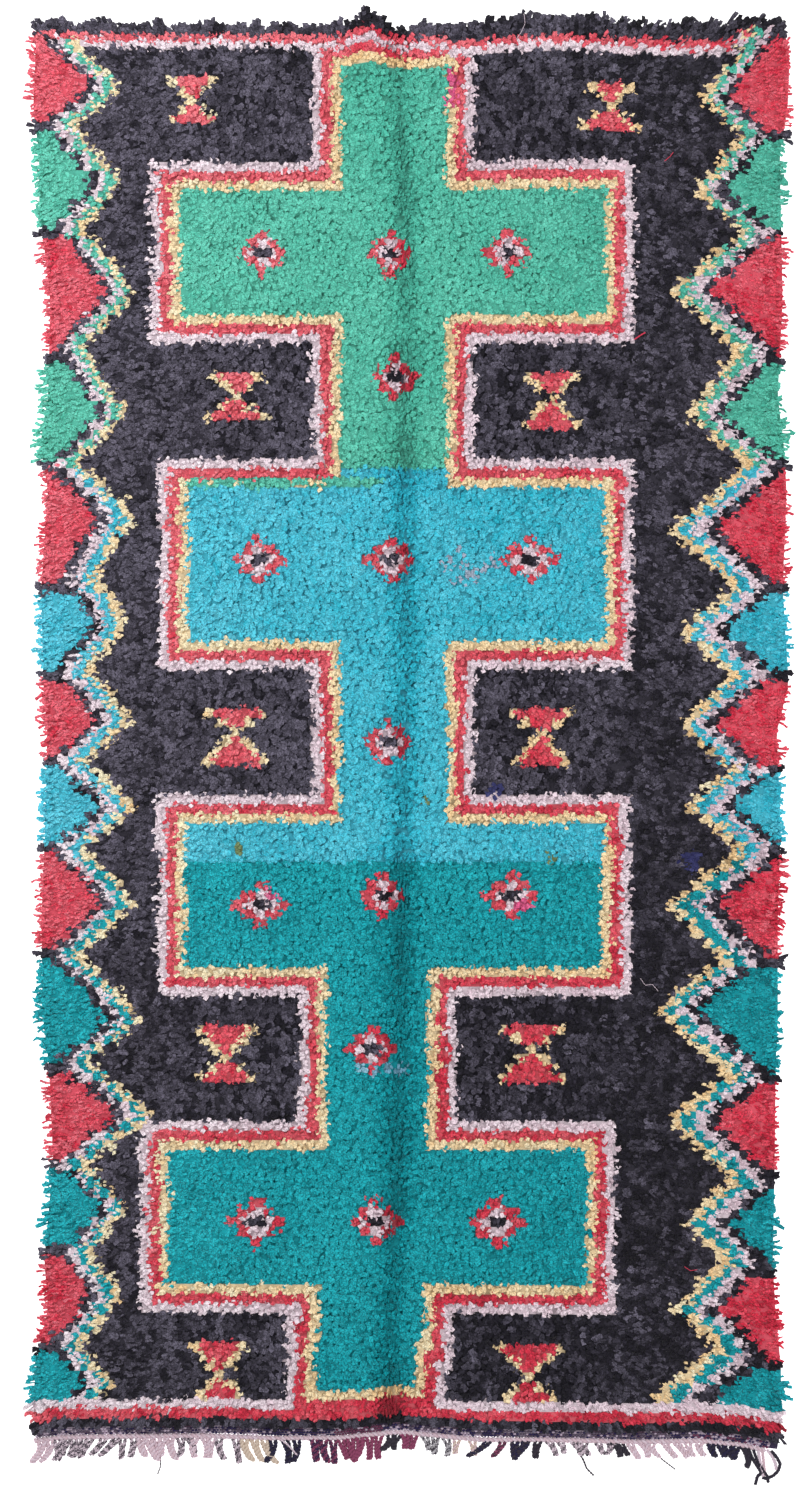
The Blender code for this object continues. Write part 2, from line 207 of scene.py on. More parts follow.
def rows_from(y, py):
    """How many rows a knot lies below the row that is nearest to y."""
    nearest = min(ROWS, key=lambda row: abs(row - y))
    return np.rint((py - nearest) / ROW_PITCH)


def knot_chart(px, py, chance):
    """The yarn of each knot."""
    yarn = np.full(px.shape, CHARCOAL)
    for grown, colour in ((3 * OUTLINE, LILAC), (2 * OUTLINE, RED), (OUTLINE, YELLOW)):
        yarn[in_figure(px, py, grown)] = colour
    inner = in_figure(px, py, 0)
    yarn[inner] = motif_ground(py)[inner]

    # The top stripes stop at the right zigzag, but run over the left one
    dropped = (px > DROP_FROM_X) & ((px < NO_DROP_FROM_X) | (px > NO_DROP_TO_X))
    lower = np.where(dropped, STRIPE_DROP, 0.0)
    for side, lines, name in ((-1, LEFT_ZIGZAG, "left"), (1, RIGHT_ZIGZAG, "right")):
        lead = np.rint((read(lines, ZIGZAG_COLUMNS, "x", py) - 4 * side) / KNOT_PITCH) * KNOT_PITCH
        ends = column(FILLS, FILL_COLUMNS, f"down_to_{name}")
        filled = np.searchsorted(ends, py)
        fills = column(FILLS, FILL_COLUMNS, "yarn")[filled]
        fills[np.abs(ends[:, None] - py).min(0) < ROW_PITCH / 2] = CHARCOAL
        out = (px - lead) * side / column(FILLS, FILL_COLUMNS, f"lines_{name}")[filled] * 4
        for step, colour in enumerate((YELLOW, motif_ground(py), LILAC, CHARCOAL, fills)):
            zone = out > step
            yarn[zone] = colour if np.isscalar(colour) else colour[zone]
        if side < 0:
            yarn[py < TOP_RED_TO + lower] = RED
            lilac_zone = (py > TOP_RED_TO + lower) & (py < TOP_LILAC_TO + lower)
            yarn[lilac_zone & (px > TOP_LILAC_FROM_X)] = LILAC

    for x, y, above, below, top_width, bottom_width in HOURGLASSES:
        across, row = np.abs(px - x), rows_from(y, py)
        rows = np.where(row < 0, above, below)
        widening = np.where(row < 0, top_width, bottom_width) / 2 - NECK_HALF_WIDTH
        half = NECK_HALF_WIDTH + widening * np.abs(row) / rows
        shape = (np.abs(row) <= rows) & (across < half)
        yarn[shape] = YELLOW
        yarn[shape & (across < half - HOURGLASS_EDGE)] = RED
    for x, y, width in ROSETTES:
        row = np.abs(rows_from(y, py))
        for away, bands in enumerate(ROSETTE_ROWS):
            for reach, colour in bands:
                yarn[(row == away) & (np.abs(px - x) < reach * width)] = colour
    for x, y, half_width, half_height, share, colour in ODD_KNOTS:
        near = (np.abs(px - x) < half_width) & (np.abs(py - y) < half_height)
        yarn[near & (chance.random(px.shape) < share)] = colour

    # The end stripes run from edge to edge, but the figure's foot breaks the lower lilac one
    yarn[py < TOP_DARK_TO + lower] = CHARCOAL
    foot = in_figure(px, py, 2 * OUTLINE)
    yarn[(py > END_LILAC_FROM) & ~foot] = LILAC
    yarn[(py > END_LILAC_FROM) & foot] = RED
    yarn[py > END_RED_FROM] = RED
    yarn[py > END_DARK_FROM] = CHARCOAL
    return yarn


def linear(red, green, blue):
    """A colour as shaders take it, from 0 to 255 steps as a picture shows it."""
    values = np.array([red, green, blue]) / 255
    return np.where(values <= 0.04045, values / 12.92, ((values + 0.055) / 1.055) ** 2.4)


# The rags of each yarn: the darkest and the palest dye, how thick and how broad, and the share of light that
# painted shade leaves in their creases
YARN_COLUMNS = ("name", "dark", "pale", "girth", "breadth", "crease_line_shade")
YARN_COLOURS = (
    ("charcoal", linear(36, 33, 44), linear(108, 103, 120), 0.9, 1.35, 0.30),
    ("green", linear(80, 190, 166), linear(112, 216, 192), 1.0, 1.1, 0.50),
    ("blue", linear(44, 188, 212), linear(102, 216, 238), 1.0, 1.1, 0.50),
    ("teal", linear(0, 152, 164), linear(42, 194, 206), 1.0, 1.1, 0.38),
    ("rose", linear(232, 50, 78), linear(250, 122, 138), 0.9, 0.9, 0.44),
    ("red", linear(228, 56, 80), linear(250, 134, 144), 0.8, 1.15, 0.50),
    ("yellow", linear(252, 212, 156), linear(255, 244, 208), 0.8, 1.15, 0.56),
    ("lilac", linear(232, 206, 218), linear(252, 238, 246), 0.8, 1.15, 0.56),
    ("pink", linear(226, 70, 130), linear(244, 128, 170), 1.0, 1.0, 0.56),
    ("olive", linear(104, 124, 84), linear(146, 162, 112), 1.0, 1.0, 0.56),
    ("navy", linear(44, 44, 92), linear(76, 78, 128), 1.0, 1.0, 0.56),
    ("mauve", linear(150, 166, 190), linear(184, 198, 216), 1.0, 1.0, 0.56),
    ("sky", linear(120, 178, 206), linear(160, 208, 226), 1.0, 1.0, 0.56),
)


def of_yarns(name):
    return column(YARN_COLOURS, YARN_COLUMNS, name)


def feed(tree, socket, value):
    """Links an output to a socket, or sets the socket's own value."""
    if isinstance(value, bpy.types.NodeSocket):
        tree.links.new(value, socket)
    else:
        socket.default_value = (*value, 1.0) if socket.type == "RGBA" else value


def add_node(tree, kind, inputs=None, **settings):
    """A new node with these settings, and with a value or an output for some of its inputs."""
    node = tree.nodes.new(kind)
    for name, value in settings.items():
        setattr(node, name, value)
    for key, value in (inputs or {}).items():
        feed(tree, node.inputs[key], value)
    return node


def maths(tree, operation, *values, kind="ShaderNodeMath", **settings):
    return add_node(tree, kind, dict(enumerate(values)), operation=operation, **settings).outputs[0]


def vector_maths(tree, operation, *values):
    return maths(tree, operation, *values, kind="ShaderNodeVectorMath")


def stored(tree, name, output="Color"):
    """An attribute of the piece, for its material."""
    return add_node(tree, "ShaderNodeAttribute", attribute_name=name).outputs[output]


def mottle(tree, scale, detail, other=None):
    """Noise over the object's own coordinates, from 0 to 1, or its own for each value of another output."""
    place = add_node(tree, "ShaderNodeTexCoord").outputs["Object"]
    if other is not None:
        place = vector_maths(tree, "MULTIPLY_ADD", other, (3.0, 3.0, 3.0), place)
    spots = add_node(tree, "ShaderNodeTexNoise", {"Scale": scale, "Detail": detail, "Vector": place})
    return spots.outputs["Fac"]


def add_bump(tree, height, strength, distance):
    bump = add_node(tree, "ShaderNodeBump", {"Strength": strength, "Distance": distance, "Height": height})
    feed(tree, tree.nodes["Principled BSDF"].inputs["Normal"], bump.outputs["Normal"])


def new_material(name, values):
    """A material with these values on its shader. Returns it, its tree and the shader's base colour."""
    material = bpy.data.materials.new(name)
    material.use_nodes = True
    shader = material.node_tree.nodes["Principled BSDF"]
    for key, value in values.items():
        feed(material.node_tree, shader.inputs[key], value)
    return material, material.node_tree, shader.inputs["Base Color"]


def mixed(tree, blend, factor, first, second):
    """A mix of two colours; each of the three may be a value or an output."""
    inputs = {0: factor, 6: first, 7: second}
    return add_node(tree, "ShaderNodeMix", inputs, data_type="RGBA", blend_type=blend).outputs[2]


MATT_CLOTH = {"Roughness": 0.92, "Specular IOR Level": 0.15, "Sheen Weight": 0.12, "Sheen Roughness": 0.5}


def dyed_cloth(name, noise_scale, shadow, bump_distance):
    """Cloth that takes its colour from the piece's own dye attribute, mottled and a little fuzzy."""
    material, tree, base_colour = new_material(name, MATT_CLOTH)
    dye = stored(tree, "dye")
    darker = mixed(tree, "MULTIPLY", 1.0, dye, (shadow, shadow, shadow))
    feed(tree, base_colour, mixed(tree, "MIX", mottle(tree, noise_scale, 3.0), darker, dye))
    add_bump(tree, mottle(tree, noise_scale * 2.5, 2.0), 0.5, bump_distance)
    return material


def into_scene(name, mesh):
    piece = bpy.data.objects.new(name, mesh)
    bpy.context.scene.collection.objects.link(piece)
    return piece


def finished_mesh(name, bm):
    mesh = bpy.data.meshes.new(name)
    bm.to_mesh(mesh)
    bm.free()
    return mesh


def values_of(items, field, width):
    """A field of each of a mesh's items, as an array of rows."""
    values = np.zeros(len(items) * width)
    items.foreach_get(field, values)
    return values.reshape(-1, width)


def keep_dyes(mesh, domain, dyes):
    """Stores a dye for each face or point, for the piece's cloth to take up."""
    colours = np.hstack([np.clip(dyes, 0, 1), np.ones((len(dyes), 1))])
    mesh.attributes.new("dye", "FLOAT_COLOR", domain).data.foreach_set("color", colours.ravel())


GROUND_COLUMNS = 100
TOP_EDGE, BARE_TO = 25.5, 29.5
BAND_ROWS = (1428.0, 1431.7, 1435.4)
RIM_FADE = 6.0
FOOT_STRAY, FEET_PARTED = 0.0015, 0.45
chance = np.random.default_rng(7)
row_edges = [TOP_EDGE] + [(a + b) / 2 for a, b in zip(ROWS, ROWS[1:])] + list(BAND_ROWS)

bm = bmesh.new()
bmesh.ops.create_grid(bm, x_segments=GROUND_COLUMNS, y_segments=len(row_edges) - 1, size=1.0)
bm.verts.ensure_lookup_table()
grid = np.array([vertex.co[:2] for vertex in bm.verts])
across = (grid[:, 0] + 1) / 2
row = np.rint((1 - grid[:, 1]) / 2 * (len(row_edges) - 1)).astype(int)
py = np.array(row_edges)[row]
left = read(EDGES, EDGE_COLUMNS, "left", py) + EDGE_OVERHANG
right = read(EDGES, EDGE_COLUMNS, "right", py) - EDGE_OVERHANG
px = left + (right - left) * across
x, y = place_on_floor(px, py)
lift = cloth_lift(px, py)
knotted = (row > 0) & (row < len(row_edges) - len(BAND_ROWS))
to_rim = np.minimum(np.minimum(px - left, right - px), py - row_edges[0])
feet = FOOT_HEIGHT - (FOOT_HEIGHT - EDGE_FOOT_HEIGHT) * np.exp(-to_rim / RIM_FADE)
parted = bell((px - read(CREASE, CREASE_COLUMNS, "x", py)) / CREASE_WIDTH)
feet = feet * (1 - FEET_PARTED * parted) + chance.uniform(-FOOT_STRAY, FOOT_STRAY, px.shape)
feet = np.where(knotted, feet, GROUND_THICKNESS)
underside = bm.verts.layers.float.new("underside")
for vertex, at in zip(bm.verts, np.stack([x, y, lift + feet, lift], 1)):
    vertex.co = at[:3]
    vertex[underside] = at[3]
made = bmesh.ops.extrude_face_region(bm, geom=bm.faces[:])["geom"]
for vertex in [item for item in made if isinstance(item, bmesh.types.BMVert)]:
    vertex.co.z = vertex[underside]
bmesh.ops.recalc_face_normals(bm, faces=bm.faces[:])
ground_mesh = finished_mesh("ground_cloth", bm)


def chart_place(x, y):
    """The chart's place over a point of the floor, leaving out the ends' waves."""
    px = (x - CLOTH_CENTRE[0]) / PIXEL + CHART_CENTRE[0]
    py = CHART_CENTRE[1] - (y - CLOTH_CENTRE[1]) / PIXEL
    for _ in range(3):
        py = py + (place_on_floor(px, py)[1] - y) / PIXEL
    return px, py


FEET_PAINTED_SHADE = 0.45
WEFTS = (linear(74, 62, 92), linear(120, 92, 116), linear(196, 178, 198))
centres = values_of(ground_mesh.polygons, "center", 3)
px, py = chart_place(centres[:, 0], centres[:, 1])
yarn = knot_chart(px, py, chance)
dyes = ((of_yarns("dark") + of_yarns("pale")) / 2)[yarn]
# Painted shade: the charcoal knots' feet are darkened so the gaps between the rag tips over them look dark
dyes[yarn == CHARCOAL] *= FEET_PAINTED_SHADE
in_band = (py > BAND_ROWS[0]) | (py < BARE_TO)
dyes[in_band] = np.array(WEFTS)[chance.integers(0, len(WEFTS), in_band.sum())]
dyes *= chance.uniform(0.75, 1.0, (len(dyes), 1))
keep_dyes(ground_mesh, "FACE", dyes)

# Its own map: the knotted side on the left half, the underside on the right
MAPPED_WIDTH, MAPPED_LENGTH = 1.34, 2.57
faces = np.repeat(np.arange(len(ground_mesh.polygons)), [p.loop_total for p in ground_mesh.polygons])
points = values_of(ground_mesh.vertices, "co", 3)[[loop.vertex_index for loop in ground_mesh.loops]]
below = values_of(ground_mesh.polygons, "normal", 3)[faces, 2] < -0.5
u = (points[:, 0] + MAPPED_WIDTH / 2) / MAPPED_WIDTH * 0.49 + 0.5 * below
v = (points[:, 1] + MAPPED_LENGTH / 2) / MAPPED_LENGTH
ground_mesh.uv_layers.new(name="OFBake").uv.foreach_set("vector", np.stack([u, v], 1).ravel())
ground_mesh.materials.append(dyed_cloth("knot_feet", 420.0, 0.55, 0.0006))
ground = into_scene("ground_cloth", ground_mesh)
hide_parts("knotted_pile")
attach(ground, "root")


# THE PILE
# Each knot's rag ends reach about 22 mm over the floor. They lie outward at the sides and the ends, stand
# upright in the middle, and part along the fold line, where only their edges show.
# A tip is a strip of torn cloth, folded lengthwise and cut askew.
PILE_RISE, EDGE_RISE = 0.0215, 0.0125
CREASE_DEPTH = 0.0070
# The height and the breadth of the swellings in its surface
LUMPS = (0.0030, 0.060)
SMALL_LUMPS = (0.0018, 0.026)
SIDE_LEAN, TOP_LEAN, FOOT_LEAN = 0.85, 0.90, 0.75
TIP_WIDTH, TIP_THICKNESS = 0.0066, 0.0022
SEEN_AT_X, SEEN_AT_TOP, SEEN_AT_FOOT = 0.85, 0.85, 0.95

# How far a tip's end curls over, how askew it is cut and how far it twists. Heights along a tip are shares
# of its own height.
CURLS = ((0.0078, 0.05, 0.3), (0.0096, -0.04, -0.3), (0.0112, 0.03, 0.4), (0.0086, -0.06, -0.5))
BEND_AT, END_AT = 0.82, 0.93
BEND_CURL, END_HALF_WIDTH = 0.15, 0.42
TIP_CORNERS = 22
tip_box = bpy.data.collections.new("rag_tip_shapes")
for number, (curl, skew, twist) in enumerate(CURLS):
    bm = bmesh.new()
    uv = bm.loops.layers.uv.new("OFBake")
    root = bm.verts.new((0, 0, 0))
    high = []
    for across, out in ((-0.5, 0.0), (0.5, 0.0), (0.0, -1.0)):
        a, o = across * TIP_WIDTH, out * TIP_THICKNESS
        x = curl * BEND_CURL + o * math.cos(twist) - a * math.sin(twist)
        high.append(bm.verts.new((x, a * math.cos(twist) + o * math.sin(twist), BEND_AT)))
    end_left, end_right = (
        bm.verts.new((curl * (1 - end * skew), -end * TIP_WIDTH, END_AT + way * skew))
        for end, way in ((END_HALF_WIDTH, 1), (-END_HALF_WIDTH, -1))
    )
    faces = []
    for side in range(3):
        corners = ((side / 3 + 0.16, 0.0), (side / 3 + 0.33, 0.35), (side / 3, 0.35))
        faces.append(((root, high[(side + 1) % 3], high[side]), corners))
    faces += [
        ((high[0], high[1], end_right, end_left), ((0.0, 0.4), (0.45, 0.4), (0.45, 1.0), (0.0, 1.0))),
        ((high[1], high[2], end_right), ((1.0, 0.4), (0.75, 0.4), (1.0, 1.0))),
        ((high[2], end_left, end_right), ((0.75, 0.4), (0.5, 1.0), (1.0, 1.0))),
        ((high[2], high[0], end_left), ((0.75, 0.4), (0.5, 0.4), (0.5, 1.0))),
    ]
    for corners, at in faces:
        face = bm.faces.new(corners)
        face.smooth = True
        for loop, place in zip(face.loops, at):
            loop[uv].uv = place
    for edge in bm.edges:
        edge.smooth = high[2] in edge.verts and (end_left in edge.verts or end_right in edge.verts)
    bmesh.ops.recalc_face_normals(bm, faces=bm.faces[:])
    shape = finished_mesh(f"rag_tip_{number}", bm)
    tip_box.objects.link(bpy.data.objects.new(f"rag_tip_{number}", shape))


def new_tree(name, inputs):
    """A Geometry Nodes tree with these named inputs. Returns it and what its inputs give."""
    tree = bpy.data.node_groups.new(name, "GeometryNodeTree")
    tree.interface.new_socket("Geometry", in_out="INPUT", socket_type="NodeSocketGeometry")
    tree.interface.new_socket("Geometry", in_out="OUTPUT", socket_type="NodeSocketGeometry")
    for label, kind, value in inputs:
        socket = tree.interface.new_socket(label, in_out="INPUT", socket_type=f"NodeSocket{kind}")
        if value is not None:
            socket.default_value = value
    return tree, add_node(tree, "NodeGroupInput").outputs


def end_tree(tree, geometry, cloth):
    """Ends a tree in real geometry with its material."""
    real = add_node(tree, "GeometryNodeRealizeInstances", {"Geometry": geometry}).outputs["Geometry"]
    dressed = add_node(tree, "GeometryNodeSetMaterial", {"Geometry": real, "Material": cloth})
    add_node(tree, "NodeGroupOutput", {"Geometry": dressed.outputs["Geometry"]})


def named(tree, name, kind="FLOAT"):
    node = add_node(tree, "GeometryNodeInputNamedAttribute", {"Name": name}, data_type=kind)
    return node.outputs["Attribute"]


def chosen(tree, kind, low, high, seed, offset):
    """A random value for each point, from its own stream of the tree's seed."""
    first, result = {"FLOAT_VECTOR": (0, 0), "FLOAT": (2, 1), "INT": (4, 2)}[kind]
    inputs = {first: low, first + 1: high, "Seed": maths(tree, "ADD", seed, offset)}
    return add_node(tree, "FunctionNodeRandomValue", inputs, data_type=kind).outputs[result]


# From the knots, as loose points with their own lean and height, to the standing tips
pile_tree, given = new_tree("Rag tips on knots", (
    ("Tips at least", "Int", 4), ("Tips at most", "Int", 6), ("Spread", "Vector", (0.009, 0.015, 0.001)),
    ("Untidiness", "Vector", (0.24, 0.24, 0.0)), ("Seed", "Int", 11), ("Tips", "Collection", None),
    ("Cloth", "Material", None),
))
tree, seed = pile_tree, given["Seed"]
amount = chosen(tree, "INT", given["Tips at least"], given["Tips at most"], seed, 0)
copies = add_node(tree, "GeometryNodeDuplicateElements",
                  {"Geometry": given["Geometry"], "Amount": amount}, domain="POINT")
half, other_half = (vector_maths(tree, "MULTIPLY", given["Spread"], (way,) * 3) for way in (0.5, -0.5))
scatter = add_node(tree, "GeometryNodeSetPosition", {
    "Geometry": copies.outputs["Geometry"],
    "Offset": chosen(tree, "FLOAT_VECTOR", other_half, half, seed, 1),
})
tidy = vector_maths(tree, "MULTIPLY", given["Untidiness"], (-1.0, -1.0, -1.0))
stray = chosen(tree, "FLOAT_VECTOR", tidy, given["Untidiness"], seed, 2)
stray = vector_maths(tree, "MULTIPLY", stray, named(tree, "freedom", "FLOAT_VECTOR"))
way = vector_maths(tree, "ADD", named(tree, "lean", "FLOAT_VECTOR"), stray)
stand = add_node(tree, "FunctionNodeAlignRotationToVector", {"Vector": way}, axis="Z")
roll = maths(tree, "MULTIPLY", chosen(tree, "FLOAT", -math.pi, math.pi, seed, 3), named(tree, "loose"))
roll = maths(tree, "ADD", roll, named(tree, "facing"))
spin = add_node(tree, "FunctionNodeAxisAngleToRotation", {"Angle": roll})
turned = add_node(tree, "FunctionNodeRotateRotation", {
    "Rotation": stand.outputs["Rotation"], "Rotate By": spin.outputs["Rotation"],
}, rotation_space="LOCAL")
reach = add_node(tree, "ShaderNodeVectorMath", {0: way}, operation="LENGTH")
size = maths(tree, "MULTIPLY", chosen(tree, "FLOAT", 0.83, 1.02, seed, 4), reach.outputs["Value"])
broad = chosen(tree, "FLOAT", 0.85, 1.35, seed, 5)
scale = add_node(tree, "ShaderNodeCombineXYZ", {"X": broad, "Y": broad, "Z": size})
shapes = add_node(tree, "GeometryNodeCollectionInfo", {
    "Collection": given["Tips"], "Separate Children": True, "Reset Children": True,
})
tone = maths(tree, "ADD", chosen(tree, "FLOAT", -0.16, 0.16, seed, 7), named(tree, "shade"))
keep_tone = add_node(tree, "GeometryNodeCaptureAttribute", domain="POINT")
keep_tone.capture_items.new("FLOAT", "Tone")
feed(tree, keep_tone.inputs["Geometry"], scatter.outputs["Geometry"])
feed(tree, keep_tone.inputs[1], tone)
planted = add_node(tree, "GeometryNodeInstanceOnPoints", {
    "Points": keep_tone.outputs["Geometry"],
    "Instance": shapes.outputs["Instances"],
    "Pick Instance": True,
    "Instance Index": chosen(tree, "INT", 0, len(CURLS) - 1, seed, 6),
    "Rotation": turned.outputs["Rotation"],
    "Scale": vector_maths(tree, "MULTIPLY", named(tree, "build", "FLOAT_VECTOR"), scale.outputs["Vector"]),
})
toned = add_node(tree, "GeometryNodeStoreNamedAttribute", {
    "Geometry": planted.outputs["Instances"], "Name": "tone", "Value": keep_tone.outputs[1],
}, data_type="FLOAT", domain="INSTANCE")
end_tree(tree, toned.outputs["Geometry"], given["Cloth"])


def grow(name, mesh, tree, settings):
    """Runs a tree on a mesh and keeps what it makes as a plain mesh of the same object."""
    piece = into_scene(name, mesh)
    modifier = piece.modifiers.new("Growth", "NODES")
    modifier.node_group = tree
    for item in tree.interface.items_tree:
        if item.item_type == "SOCKET" and item.in_out == "INPUT" and item.name in settings:
            modifier[item.identifier] = settings[item.name]
    evaluated = piece.evaluated_get(bpy.context.evaluated_depsgraph_get())
    grown = bpy.data.meshes.new_from_object(evaluated)
    grown.name = name
    piece.modifiers.remove(modifier)
    grown.materials.clear()
    grown.materials.append(settings["Cloth"])
    grown.polygons.foreach_set("material_index", [0] * len(grown.polygons))
    piece.data = grown
    bpy.data.meshes.remove(mesh)
    return piece


def loose_points(name, places, **attributes):
    """A mesh of single points with their own values."""
    mesh = bpy.data.meshes.new(name)
    mesh.vertices.add(len(places))
    mesh.vertices.foreach_set("co", np.asarray(places, float).ravel())
    for label, values in attributes.items():
        values = np.asarray(values, float)
        kind, field = ("FLOAT", "value") if values.ndim == 1 else ("FLOAT_VECTOR", "vector")
        mesh.attributes.new(label, kind, "POINT").data.foreach_set(field, values.ravel())
    return mesh


def share_out_map(mesh, corners_each):
    """Gives every like item of a piece its own cell of the map that it came with."""
    layer = mesh.uv_layers["OFBake"]
    uv = values_of(layer.uv, "vector", 2)
    item = np.arange(len(uv)) // corners_each
    cells = math.ceil(math.sqrt(item[-1] + 1))
    cell = np.stack([item % cells, item // cells], 1)
    layer.uv.foreach_set("vector", ((cell + 0.1 + 0.8 * np.clip(uv, 0, 1)) / cells).ravel())


def map_range(tree, value, **ends):
    """A value stretched between ends, given as from_min, from_max and to_min."""
    inputs = {name.replace("_", " ").title(): end for name, end in ends.items()}
    return add_node(tree, "ShaderNodeMapRange", {"Value": value, **inputs}).outputs["Result"]


def rag_cloth(name, dark, pale, fold_shade):
    """Torn jersey: rags differ in dye; painted shade darkens those in the fold line and away from the lamp,
    and each rag's creases.
    """
    material, tree, base_colour = new_material(name, MATT_CLOTH)
    tone = stored(tree, "tone", "Fac")
    spots = maths(tree, "MULTIPLY_ADD", mottle(tree, 240.0, 2.0), 0.3, -0.15)
    rag = mixed(tree, "MIX", maths(tree, "ADD", tone, spots, use_clamp=True), dark, pale)
    # Painted shade: tones below the darkest dye, mostly of rags in the fold line and away from the lamp,
    # darken further; so do the darkest random tones.
    dark_tone_and_painted_shade = map_range(tree, tone, from_min=-0.6, from_max=0.1, to_min=0.5)
    # A crease is where the noise passes its middle value. Painted shade darkens each crease, and the same
    # lines make the bump.
    off_crease = maths(tree, "ABSOLUTE", maths(tree, "SUBTRACT", mottle(tree, 190.0, 1.0, tone), 0.5))
    folds = map_range(tree, off_crease, from_max=0.09, to_min=fold_shade)
    shaded = mixed(tree, "MULTIPLY", 1.0, rag, dark_tone_and_painted_shade)
    feed(tree, base_colour, mixed(tree, "MULTIPLY", 1.0, shaded, folds))
    add_bump(tree, folds, 0.8, 0.0012)
    return material


KNOT_INSET, KNOT_STRAY, ROW_STRAY = 1.8, 1.2, 0.7
chance = np.random.default_rng(23)
px, py = [], []
for row in ROWS:
    left = read(EDGES, EDGE_COLUMNS, "left", row) + KNOT_INSET
    right = read(EDGES, EDGE_COLUMNS, "right", row) - KNOT_INSET
    knots = np.arange(left, right, KNOT_PITCH)
    px.append(knots + chance.uniform(-KNOT_STRAY, KNOT_STRAY, knots.shape))
    py.append(np.full(knots.shape, row))
px, py = np.concatenate(px), np.concatenate(py)
yarn = knot_chart(px, py, chance)
beside_another = np.zeros(px.shape, bool)
for across, down in ((-6, 0), (6, 0), (0, -9), (0, 9)):
    beside_another |= knot_chart(px + across, py + down, np.random.default_rng(23)) != yarn
row_number = np.searchsorted(ROWS, py)
py = py + chance.normal(0, ROW_STRAY, py.shape)

# The lie of the pile, by how far a knot is from the middle, the sides, the ends and the fold line
MIDDLE_X, HALF_WIDTH = 402, 375
UPRIGHT_SHARE, TURNING_SHARE = 0.22, 0.55
TOP_LEAN_OVER, FOOT_LEAN_FROM, FOOT_LEAN_OVER = 75, 1375, 50
from_left = px - read(EDGES, EDGE_COLUMNS, "left", py)
from_right = read(EDGES, EDGE_COLUMNS, "right", py) - px
from_side = np.minimum(from_left, from_right)
aside = (px - MIDDLE_X) / HALF_WIDTH
outward = np.clip((np.abs(aside) - UPRIGHT_SHARE) / TURNING_SHARE, 0, 1)
outward = np.sign(aside) * outward * outward * (3 - 2 * outward)
lying = np.abs(outward)
crease = bell((px - read(CREASE, CREASE_COLUMNS, "x", py)) / CREASE_WIDTH)
crease *= np.clip((py - 60) / 60, 0, 1) * 0.4 + 0.6
from_foot = LAST_ROW + 4 - py
foot_lean = FOOT_LEAN * (1 - 0.5 * bell((px - 380) / 60))
upward = TOP_LEAN * np.clip(1 - (py - TOP_ROW) / TOP_LEAN_OVER, 0, 1)
upward = upward - foot_lean * np.clip((py - FOOT_LEAN_FROM) / FOOT_LEAN_OVER, 0, 1)
lean = np.stack([SIDE_LEAN * outward, upward - 0.10 * (1 - crease), np.ones(px.shape)], 1)

x, y = place_on_floor(px, py)
lumps = [
    LUMPS[0] * noise.noise(Vector((a, b, 0.0)) / LUMPS[1])
    + SMALL_LUMPS[0] * noise.noise(Vector((a, b, 1.0)) / SMALL_LUMPS[1])
    for a, b in zip(x, y)
]
to_rim = np.minimum(np.minimum(from_side, py - 20), from_foot)
height = PILE_RISE - (PILE_RISE - EDGE_RISE) * np.exp(-to_rim / RIM_FADE)
height = height + np.array(lumps) - CREASE_DEPTH * crease

# At the sides some rows reach further out than others, and tufts stand out along the upper end. The last
# rows reach out evenly.
ROW_REACH, LAST_ROWS, LAST_REACH, ROW_FADE = (-0.25, 0.50), 3, 0.4, 9
TUFT_REACH, TUFTS, TUFT_WIDTH, TUFT_FADE = (-0.35, 0.45), 90, 9, 5
by_row = np.random.default_rng(29).uniform(*ROW_REACH, (2, len(ROWS)))
by_row[:, -LAST_ROWS:] = LAST_REACH
by_tuft = np.random.default_rng(37).uniform(*TUFT_REACH, TUFTS)
at_left = (from_left < from_right).astype(int)
ragged = 1 + by_row[at_left, row_number] * np.exp(-from_side / ROW_FADE)
ragged += by_tuft[(px / TUFT_WIDTH).astype(int)] * np.exp(-np.abs(py - ROWS[0]) / TUFT_FADE)

# How far tips stray and turn, and their build. Those in the fold line and between yarns are thinner.
freedom = np.stack([1 - 0.5 * crease + 0.8 * lying, 1 + 1.2 * crease + 0.8 * lying, np.zeros(px.shape)], 1)
leaning = np.clip(np.hypot(lean[:, 0], lean[:, 1]) / 0.6, 0, 1)
facing = np.arctan2(lean[:, 1], lean[:, 0]) * (1 - crease)
loose = (1 - 0.85 * crease) * (1 - 0.8 * leaning)
girth = of_yarns("girth")[yarn] * (1 - 0.5 * crease) * (1 - 0.10 * np.exp(-from_side / 8))
girth = girth * (1 - 0.35 * beside_another)
breadth = of_yarns("breadth")[yarn] * (1 - 0.25 * lying)
build = np.stack([girth, breadth * (1 + 0.3 * crease), height * ragged], 1)

# How pale each knot's rags are, from 0 to 1. Painted shade darkens them in the fold line and on the side
# away from the lamp, they darken at the buckle, and the charcoal, red and rose rags change towards the foot.
STEP_BETWEEN_KNOTS, CHARCOAL_STEPS, LYING_STEPS = 0.10, 3.4, 1.4
CREASE_SHADE, LAMP_SHADE, PATCH_SHADE, PATCH_SIZE = 0.68, 0.25, 0.25, 0.09
BUCKLE_SHADE, BUCKLE_SHADE_WIDTH = 0.30, 34
steps = np.where(yarn == CHARCOAL, CHARCOAL_STEPS, 1.0 + LYING_STEPS * lying)
shade = 0.5 + chance.normal(0, STEP_BETWEEN_KNOTS, px.shape) * steps
